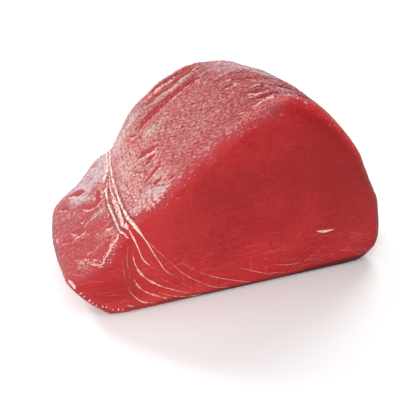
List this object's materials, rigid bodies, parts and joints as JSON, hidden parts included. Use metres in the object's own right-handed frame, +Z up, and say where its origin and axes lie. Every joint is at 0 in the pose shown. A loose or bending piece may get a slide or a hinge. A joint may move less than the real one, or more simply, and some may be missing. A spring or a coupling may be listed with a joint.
{
  "type": "raw tuna steak",
  "caption": "Thick raw tuna loin steak with a domed outer side, a small nose lobe and a smooth front cut, standing on its flat trimmed side.",
  "frame": {"origin": "on the flat trimmed base, under the middle of the steak's box", "axes": "+X along the front cut's lower edge, from the small nose lobe to the thick end; the front cut faces -Y; +Z up from the base"},
  "size_m": [0.169, 0.0596, 0.1064],
  "materials": {
    "tuna_flesh": "moist raw fish, deep red with a pinkish sheen on the outer side"
  },
  "bodies": {
    "root": {"tuna_steak": "tuna_flesh"}
  },
  "joints": []
}
